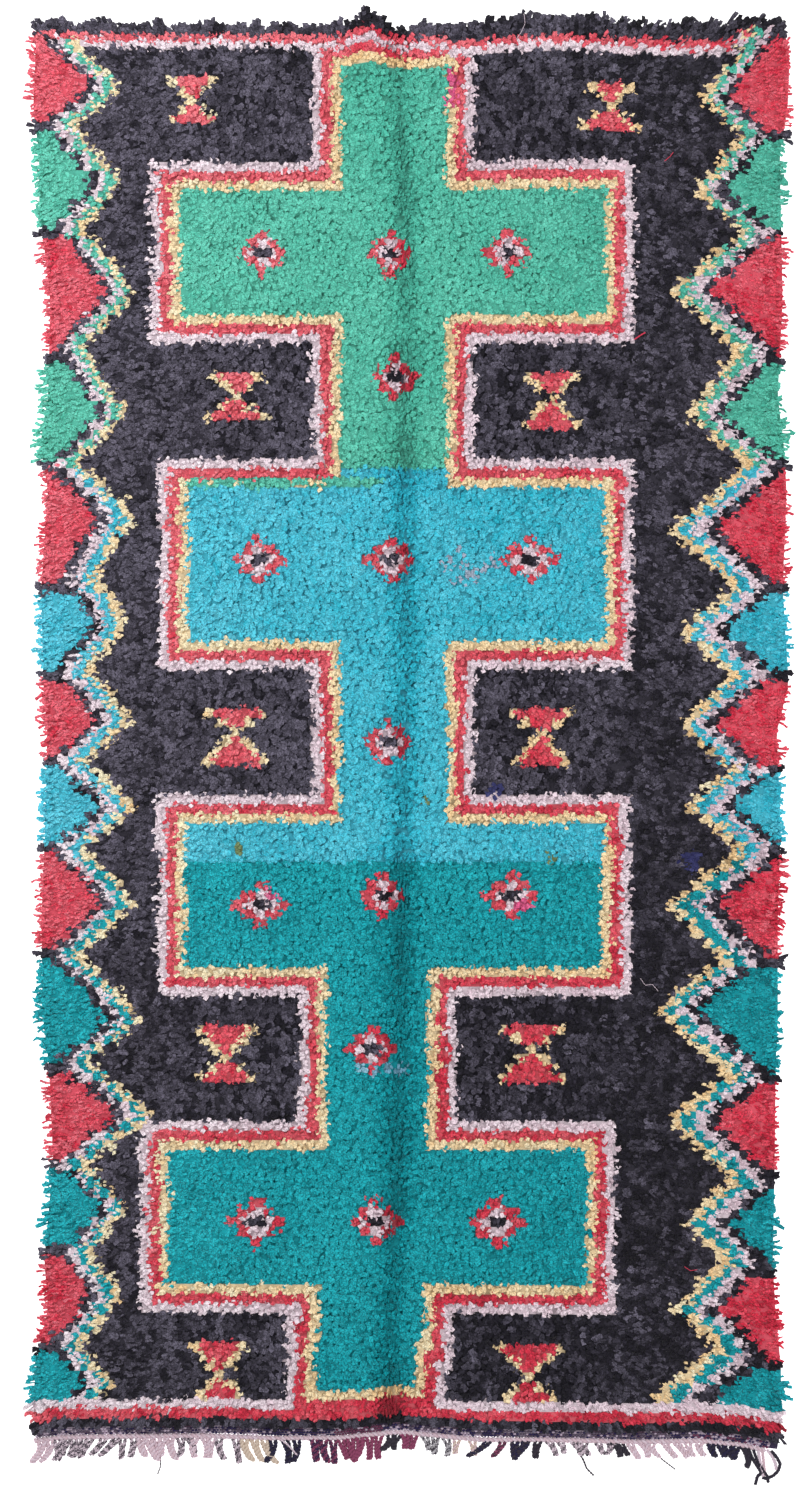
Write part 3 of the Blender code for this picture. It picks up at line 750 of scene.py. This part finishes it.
# Painted shade in the fold line and on the side away from the lamp
shade -= CREASE_SHADE * crease + LAMP_SHADE * aside
shade += PATCH_SHADE * np.array([noise.noise(Vector((a, b, 2.0)) / PATCH_SIZE) for a, b in zip(x, y)])
shade -= (yarn == CHARCOAL) * (0.06 + 0.22 * np.clip((py - 850) / 120, 0, 1))
shade += (yarn == RED) * (0.15 - 0.55 * py / LAST_ROW) + (yarn == ROSE) * (0.12 - 0.35 * py / LAST_ROW)
shade -= BUCKLE_SHADE * bell((px - BUCKLE_X) / BUCKLE_SHADE_WIDTH) * np.clip(1 - (py - 60) / 150, 0, 1)

# The tips are seen where the chart has them, so the knots lie back under them
KNOT_HEIGHT = 0.0035
root_x = x - SEEN_AT_X * lean[:, 0] * height
root_y = y - np.where(lean[:, 1] > 0, SEEN_AT_TOP, SEEN_AT_FOOT) * lean[:, 1] * height
knots = np.stack([root_x, root_y, cloth_lift(px, py) + KNOT_HEIGHT], 1)

# Charcoal fills the field, so it is split in two near the middle of the rug
SPLIT_AT = 700
charcoal = yarn == CHARCOAL
piles = [("charcoal_upper", charcoal & (py < SPLIT_AT)), ("charcoal_lower", charcoal & (py >= SPLIT_AT))]
piles += [(name, yarn == number) for number, name in enumerate(YARNS) if number != CHARCOAL]
# The outlines' tips stay closer to their knots, and those of the lower fields to their rows
SPREAD, OUTLINE_SPREAD, ROW_SPREAD = (0.009, 0.015, 0.001), (0.007, 0.013, 0.001), (0.009, 0.0105, 0.001)
SPREADS = {**dict.fromkeys(("yellow", "red", "lilac"), OUTLINE_SPREAD),
           **dict.fromkeys(("teal", "charcoal_lower"), ROW_SPREAD)}
for number, (name, picked) in enumerate(piles):
    _, dark, pale, _, _, crease_line_shade = YARN_COLOURS[YARNS.index(name.split("_")[0])]
    points = loose_points(
        name, knots[picked], lean=lean[picked], build=build[picked], freedom=freedom[picked],
        shade=shade[picked], loose=loose[picked], facing=facing[picked],
    )
    pile = grow(f"pile_{name}", points, pile_tree, {
        "Tips": tip_box, "Cloth": rag_cloth(f"{name}_rag", dark, pale, crease_line_shade), "Seed": 100 + number,
        "Spread": SPREADS.get(name, SPREAD),
    })
    share_out_map(pile.data, TIP_CORNERS)
    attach(pile, "root")


# THE FLAT-WOVEN END
# Below the last dark row the wefts show bare for three rows. Each float passes over one warp, in navy,
# plum or lilac cotton, and the beater has packed them close.
NAVY_WEFT, PLUM_WEFT, LILAC_WEFT, GREY_WEFT = (
    linear(58, 48, 98), linear(132, 70, 104), linear(226, 206, 228), linear(122, 108, 130),
)
# Over each stretch of the band: from, to, the two wefts that take turns, and the share of lilac ones
WEFT_ZONES = (
    (34, 60, GREY_WEFT, NAVY_WEFT, 0.25), (60, 140, NAVY_WEFT, GREY_WEFT, 0.40),
    (140, 265, GREY_WEFT, NAVY_WEFT, 0.30), (265, 334, NAVY_WEFT, NAVY_WEFT, 0.18),
    (334, 382, PLUM_WEFT, PLUM_WEFT, 0.14), (382, 470, NAVY_WEFT, GREY_WEFT, 0.30),
    (470, 690, NAVY_WEFT, GREY_WEFT, 0.24), (690, 772, NAVY_WEFT, PLUM_WEFT, 0.35),
)
FLOAT_PITCH = 3.1
FLOAT_ROWS = (1430.2, 1432.6, 1435.0)
FLOAT_SIZE = (0.0030, 0.0021, 0.0013)
FLOAT_HEIGHT = 0.0031

chance = np.random.default_rng(31)
float_points = np.array([(-1, 0, 0), (-0.4, -1, 0), (-0.4, 0, 1), (-0.4, 1, 0), (-0.4, 0, -1),
                         (0.4, -1, 0), (0.4, 0, 1), (0.4, 1, 0), (0.4, 0, -1), (1, 0, 0)])
float_faces = []
for side in range(4):
    after = (side + 1) % 4
    float_faces += [(0, 1 + after, 1 + side), (1 + side, 1 + after, 5 + after, 5 + side),
                    (9, 5 + side, 5 + after)]
points, faces, dyes = [], [], []
for row_number, row in enumerate(FLOAT_ROWS):
    for px in np.arange(36 + 1.5 * (row_number % 2), 770, FLOAT_PITCH):
        _, _, first, second, lilac_share = [zone for zone in WEFT_ZONES if zone[0] <= px < zone[1]][0]
        centre = np.array([*place_on_floor(px, row), FLOAT_HEIGHT + chance.uniform(-0.0003, 0.0004)])
        size = np.array(FLOAT_SIZE) * chance.uniform(0.85, 1.15, 3)
        start = len(points)
        points += list(centre + float_points * size)
        faces += [tuple(start + corner for corner in face) for face in float_faces]
        dye = (first, second)[chance.integers(0, 2)] if chance.random() > lilac_share else LILAC_WEFT
        dyes += [dye * chance.uniform(0.85, 1.15)] * len(float_points)
float_mesh = bpy.data.meshes.new("flat_woven_end")
float_mesh.from_pydata(points, [], faces)
float_mesh.shade_smooth()
keep_dyes(float_mesh, "POINT", dyes)
float_mesh.materials.append(dyed_cloth("cotton_wefts", 700.0, 0.7, 0.0003))
flat_woven_end = into_scene("flat_woven_end", float_mesh)
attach(flat_woven_end, "root")


# THE TWINED CORD AND THE WARP FRINGE
# A two-ply lilac cord is twined across the warps to hold the last weft. Below it the cut warps are
# gathered and rolled into short bunches, tweedy grey and lilac, navy, plum or beige by turns.
CORD_COLUMNS = ("x", "y")
CORD = (
    (34, 1442), (60, 1438.6), (135, 1437.5), (200, 1436.7), (270, 1439.4), (340, 1439), (375, 1435.4),
    (400, 1433.5), (430, 1436), (480, 1441), (540, 1441), (640, 1443), (700, 1442), (740, 1446),
    (766, 1451.7),
)
LILAC_YARN, PINK_YARN, GREY_YARN, NAVY_YARN, PLUM_YARN, BEIGE_YARN, PALE_YARN, DARK_YARN = (
    linear(214, 196, 208), linear(206, 178, 188), linear(58, 52, 62), linear(38, 34, 66),
    linear(138, 66, 98), linear(206, 188, 172), linear(190, 186, 192), linear(48, 44, 56),
)
# Each group of bunches: from, to, how many, their length, how far they reach sideways over their length,
# their thickness and their two yarns
STRANDS = (
    (40, 49, 2, 21, -0.45, 4.8, LILAC_YARN, PINK_YARN), (56, 84, 6, 21, -0.25, 4.2, GREY_YARN, LILAC_YARN),
    (90, 116, 3, 19, -0.7, 4.6, GREY_YARN, LILAC_YARN), (122, 134, 2, 21, -0.1, 4.6, GREY_YARN, LILAC_YARN),
    (141, 170, 5, 22, 0.1, 5.0, LILAC_YARN, PINK_YARN), (178, 187, 2, 20, 0.1, 4.6, GREY_YARN, LILAC_YARN),
    (195, 212, 3, 22, 0.15, 4.4, LILAC_YARN, PINK_YARN), (220, 236, 2, 24, 0.0, 4.6, GREY_YARN, LILAC_YARN),
    (244, 265, 3, 24, 0.2, 4.8, BEIGE_YARN, BEIGE_YARN), (272, 296, 3, 23, -0.2, 5.0, NAVY_YARN, DARK_YARN),
    (314, 333, 3, 24, -0.1, 5.2, NAVY_YARN, PLUM_YARN), (340, 380, 5, 23, 0.0, 5.2, PLUM_YARN, PLUM_YARN),
    (390, 400, 2, 18, -0.4, 4.8, GREY_YARN, DARK_YARN), (405, 414, 2, 15, 0.0, 4.8, PLUM_YARN, PLUM_YARN),
    (424, 446, 3, 17, 0.0, 4.4, PALE_YARN, GREY_YARN), (457, 472, 2, 16, 0.1, 4.4, BEIGE_YARN, PINK_YARN),
    (488, 489, 1, 17, -0.6, 5.0, NAVY_YARN, GREY_YARN), (503, 504, 1, 17, -0.5, 4.6, PLUM_YARN, GREY_YARN),
    (516, 527, 2, 17, -0.45, 5.0, NAVY_YARN, GREY_YARN), (538, 540, 1, 17, 0.0, 4.8, DARK_YARN, GREY_YARN),
    (549, 610, 6, 14, 0.35, 4.2, LILAC_YARN, GREY_YARN), (614, 621, 2, 15, 0.5, 4.2, DARK_YARN, GREY_YARN),
    (630, 700, 7, 15, 0.5, 4.2, LILAC_YARN, PINK_YARN), (712, 745, 5, 13, 0.2, 4.8, NAVY_YARN, DARK_YARN),
)
RED_RAG = linear(214, 58, 86)
# Single ends that trail past the fringe or lie loose on the pile: points, height, thickness and yarn
TRAILS = (
    (((160, 1456), (160, 1468), (157, 1476)), 0.0025, 1.5, GREY_YARN),
    (((578, 1452), (584, 1462), (587, 1470), (594, 1477)), 0.0025, 2.4, GREY_YARN),
    (((652, 1451), (664, 1462), (676, 1471)), 0.0025, 1.8, GREY_YARN),
    (((280, 1440), (288, 1446), (297, 1456)), 0.009, 2.2, LILAC_YARN),
    (((640, 978), (645, 985), (652, 984), (658, 991)), 0.027, 0.6, LILAC_YARN),
    (((516, 40), (521, 33), (525, 24), (524, 14)), 0.024, 0.6, LILAC_YARN),
    (((664, 162), (670, 157), (673, 153)), 0.027, 0.8, RED_RAG),
    (((634, 340), (640, 336), (645, 333)), 0.027, 1.6, RED_RAG),
    (((684, 1266), (690, 1270), (697, 1269)), 0.027, 0.7, RED_RAG),
)


def scaled(tree, vector, factor):
    return add_node(tree, "ShaderNodeVectorMath", {0: vector, "Scale": factor}, operation="SCALE").outputs[0]


# From lines of points to plies that are wound round each other
PLY_SIZE, PLY_OFFSET = 0.29, 0.26
yarn_tree, given = new_tree("Plied yarn", (
    ("Plies", "Int", 3), ("Turns per metre", "Float", 55.0), ("Step", "Float", 0.0026), ("Sides", "Int", 5),
    ("Ply size", "Float", PLY_SIZE), ("Ply offset", "Float", PLY_OFFSET), ("Cloth", "Material", None),
))
tree = yarn_tree
along = add_node(tree, "GeometryNodeMeshToCurve", {"Mesh": given["Geometry"]})
even = add_node(tree, "GeometryNodeResampleCurve",
                {"Curve": along.outputs["Curve"], "Length": given["Step"]}, mode="LENGTH")
plies = add_node(tree, "GeometryNodeDuplicateElements",
                 {"Geometry": even.outputs["Curve"], "Amount": given["Plies"]}, domain="SPLINE")
ply = add_node(tree, "GeometryNodeStoreNamedAttribute", {
    "Geometry": plies.outputs["Geometry"], "Name": "ply", "Value": plies.outputs["Duplicate Index"],
}, data_type="FLOAT", domain="POINT")
reach = add_node(tree, "GeometryNodeSplineParameter").outputs["Length"]
turn = maths(tree, "MULTIPLY", reach, given["Turns per metre"])
share = maths(tree, "DIVIDE", named(tree, "ply"), given["Plies"])
turn = maths(tree, "ADD", turn, maths(tree, "ADD", share, named(tree, "start_turn")))
turn = maths(tree, "MULTIPLY", turn, 2 * math.pi)
normal = add_node(tree, "GeometryNodeInputNormal").outputs["Normal"]
tangent = add_node(tree, "GeometryNodeInputTangent").outputs["Tangent"]
radius = maths(tree, "MULTIPLY", named(tree, "thickness"), given["Ply offset"])
out_of_line = scaled(tree, normal, maths(tree, "COSINE", turn))
to_side = scaled(tree, vector_maths(tree, "CROSS_PRODUCT", tangent, normal), maths(tree, "SINE", turn))
twisted = add_node(tree, "GeometryNodeSetPosition", {
    "Geometry": ply.outputs["Geometry"],
    "Offset": scaled(tree, vector_maths(tree, "ADD", out_of_line, to_side), radius),
})
profile = add_node(tree, "GeometryNodeCurvePrimitiveCircle", {"Resolution": given["Sides"], "Radius": 1.0})
swept = add_node(tree, "GeometryNodeCurveToMesh", {
    "Curve": twisted.outputs["Geometry"],
    "Profile Curve": profile.outputs["Curve"],
    "Fill Caps": True,
    "Scale": maths(tree, "MULTIPLY", named(tree, "thickness"), given["Ply size"]),
})
end_tree(tree, swept.outputs["Mesh"], given["Cloth"])


def spun_yarn(name):
    """Hand-spun yarn: every other ply in its second dye, with slubs of the other mixed in."""
    material, tree, base_colour = new_material(name, MATT_CLOTH)
    offset = maths(tree, "MULTIPLY_ADD", stored(tree, "ply", "Fac"), 0.16, -0.12)
    slubs = maths(tree, "ADD", mottle(tree, 520.0, 1.0), offset)
    which = maths(tree, "MULTIPLY_ADD", slubs, 6.0, -2.3, use_clamp=True)
    feed(tree, base_colour, mixed(tree, "MIX", which, stored(tree, "first_dye"), stored(tree, "second_dye")))
    add_bump(tree, mottle(tree, 1100.0, 2.0), 0.6, 0.0004)
    return material


def yarn_lines(name, lines):
    """A mesh of polylines. Each line is its points, its thickness at each and its two dyes."""
    mesh = bpy.data.meshes.new(name)
    places, edges, thickness, first, second, start_turn = [], [], [], [], [], []
    for number, (points, sizes, first_dye, second_dye) in enumerate(lines):
        start = len(places)
        places += [tuple(point) for point in points]
        edges += [(start + n, start + n + 1) for n in range(len(points) - 1)]
        thickness += list(sizes)
        first += [(*first_dye, 1.0)] * len(points)
        second += [(*second_dye, 1.0)] * len(points)
        start_turn += [number * 0.37] * len(points)
    mesh.from_pydata(places, edges, [])
    for label, values in (("thickness", thickness), ("start_turn", start_turn)):
        mesh.attributes.new(label, "FLOAT", "POINT").data.foreach_set("value", values)
    for label, dyes in (("first_dye", first), ("second_dye", second)):
        mesh.attributes.new(label, "FLOAT_COLOR", "POINT").data.foreach_set("color", np.ravel(dyes))
    return mesh


def floor_line(points, heights):
    """Points of the picture, not straightened, on the floor at these heights."""
    points = np.array(points, float)
    across, away = to_metres(points[:, 0], points[:, 1])
    return np.stack([across, away, np.broadcast_to(heights, across.shape)], 1)


def even_yarn(points, heights, thickness, dye):
    """A line for yarn_lines, of one thickness and one dye."""
    return floor_line(points, heights), [thickness * PIXEL] * len(points), dye, dye


def wind(name, lines, plies, turns_per_metre, step, sides, ply_size=PLY_SIZE, ply_offset=PLY_OFFSET):
    """A piece of hand-spun yarn along these lines."""
    return grow(name, yarn_lines(name, lines), yarn_tree, {
        "Plies": plies, "Turns per metre": turns_per_metre, "Step": step, "Sides": sides,
        "Ply size": ply_size, "Ply offset": ply_offset, "Cloth": hand_spun,
    })


CORD_HEIGHT, CORD_THICKNESS = 0.0050, 0.0092
chance = np.random.default_rng(41)
hand_spun = spun_yarn("hand_spun_yarn")
cord_x = np.arange(34, 767, 6.0)
cord_points = floor_line(np.stack([cord_x, read(CORD, CORD_COLUMNS, "y", cord_x)], 1), CORD_HEIGHT)
cord_line = (cord_points, [CORD_THICKNESS] * len(cord_x), LILAC_YARN, PINK_YARN)
cord = wind("twined_cord", [cord_line], 2, 62.0, 0.0022, 6, 0.30, 0.24)
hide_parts("twined_fringe")
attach(cord, "root")

# Each bunch is two legs that start apart at the cord, draw together half-way down and taper a little
LEG_GIRTHS = (0.74, 0.78, 0.82, 0.84, 0.86, 0.84, 0.70)
LEGS_APART, MORE_AT_CORD = 1.3, 1.7
down = np.linspace(0, 1, len(LEG_GIRTHS))
lines = []
for from_x, to_x, strands, length, lean, thickness, first, second in STRANDS:
    for x in np.linspace(from_x, to_x, strands):
        x = x + chance.uniform(-1.0, 1.0)
        top = float(read(CORD, CORD_COLUMNS, "y", x)) + 1.5
        long = length * chance.uniform(0.85, 1.1)
        slant = lean + chance.normal(0, 0.20)
        sway = chance.uniform(-3.0, 3.0)
        size = thickness * PIXEL * chance.uniform(1.10, 1.45)
        for leg in (-1, 1):
            apart = leg * (LEGS_APART + MORE_AT_CORD * np.clip(1 - down / 0.5, 0, 1))
            across = x + slant * long * down ** 1.4 + sway * np.sin(down * 3.1) + apart
            away = top + long * down * chance.uniform(0.93, 1.0)
            girth = size * np.array(LEG_GIRTHS) * chance.uniform(0.88, 1.12, len(LEG_GIRTHS))
            lines.append((floor_line(np.stack([across, away], 1), size * 0.54), girth, first, second))
fringe = wind("warp_fringe", lines, 2, 80.0, 0.0025, 5)
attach(fringe, "root")

loose_ends = wind("loose_ends", [even_yarn(*trail) for trail in TRAILS], 2, 90.0, 0.003, 4)
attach(loose_ends, "root")


# THE CORNER TASSEL
# At the lower right corner the last warps are knotted together: stiff dark ends and soft lilac ones.
# One dark end is looped back through the knot.
# Each end's points, thickness and yarn
TASSEL = (
    (((749, 1449), (752, 1458), (757, 1466), (762, 1474), (758, 1478), (756, 1486)), 3.6, DARK_YARN),
    (((754, 1451), (757, 1460), (763, 1470), (768, 1478), (769, 1484)), 3.4, DARK_YARN),
    (((759, 1451), (760, 1460), (762, 1470), (764, 1478)), 3.4, LILAC_YARN),
    (((763, 1451), (764, 1461), (765, 1470), (766, 1477)), 3.2, PINK_YARN),
    (((768, 1451), (773, 1458), (776, 1465), (777, 1471)), 3.4, LILAC_YARN),
    (((772, 1452), (777, 1458), (781, 1465), (779, 1472), (774, 1477), (767, 1480), (763, 1479)), 3.6,
     DARK_YARN),
    (((745, 1450), (748, 1457), (749, 1464), (747, 1468)), 6.5, DARK_YARN),
)
lines = []
for points, thickness, dye in TASSEL:
    rise = np.linspace(0.007, thickness * PIXEL * 0.7, len(points))
    lines.append(even_yarn(points, rise, thickness, dye))
tassel = wind("corner_tassel_ends", lines, 3, 60.0, 0.0024, 5)
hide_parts("corner_tassel")
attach(tassel, "root")


# THE STAGE
# A white sweep under large soft lamps, seen from straight above as the rug was photographed.
FLOOR_HALF, FLOOR_BELOW = 40.0, 0.0004
bm = bmesh.new()
bmesh.ops.create_grid(bm, x_segments=1, y_segments=1, size=FLOOR_HALF)
bmesh.ops.translate(bm, vec=(0, 0, -FLOOR_BELOW), verts=bm.verts[:])
floor_mesh = finished_mesh("studio_floor", bm)
floor_mesh.materials.append(new_material("white_paper", {
    "Base Color": (0.86, 0.86, 0.86), "Roughness": 0.9, "Emission Color": (1.0, 1.0, 1.0),
    "Emission Strength": 1.0,
})[0])
into_scene("studio_floor", floor_mesh)

# Name, place, side in metres and watts
LAMPS = (
    ("key_softbox", (-1.9, 1.9, 2.6), 2.2, 64.0),
    ("fill_softbox", (2.3, -0.6, 2.8), 2.6, 36.0),
)
for name, spot, side, watts in LAMPS:
    lamp = bpy.data.lights.new(name, "AREA")
    lamp.shape, lamp.size, lamp.energy = "SQUARE", side, watts
    holder = bpy.data.objects.new(name, lamp)
    holder.location = spot
    holder.rotation_euler = (-Vector(spot)).to_track_quat("-Z", "Y").to_euler()
    bpy.context.scene.collection.objects.link(holder)
world = bpy.data.worlds.new("studio")
world.use_nodes = True
world.node_tree.nodes["Background"].inputs["Color"].default_value = (1.0, 1.0, 1.0, 1.0)
world.node_tree.nodes["Background"].inputs["Strength"].default_value = 0.69
bpy.context.scene.world = world
bpy.context.scene.view_settings.view_transform = "Standard"

CAMERA_HEIGHT, SCALE_HEIGHT = 7.0, 0.018
SENSOR_HEIGHT, SEEN_TO = 36.0, 120.0
PICTURE_SIZE = (810, 1500)
camera_data = bpy.data.cameras.new("overhead_camera")
camera_data.sensor_fit = "VERTICAL"
camera_data.sensor_height = SENSOR_HEIGHT
camera_data.lens = SENSOR_HEIGHT * (CAMERA_HEIGHT - SCALE_HEIGHT) / (PICTURE_SIZE[1] * PIXEL)
camera_data.clip_end = SEEN_TO
camera = bpy.data.objects.new("overhead_camera", camera_data)
camera.location = (*to_metres(PICTURE_SIZE[0] / 2, PICTURE_SIZE[1] / 2), CAMERA_HEIGHT)
bpy.context.scene.collection.objects.link(camera)
bpy.context.scene.camera = camera
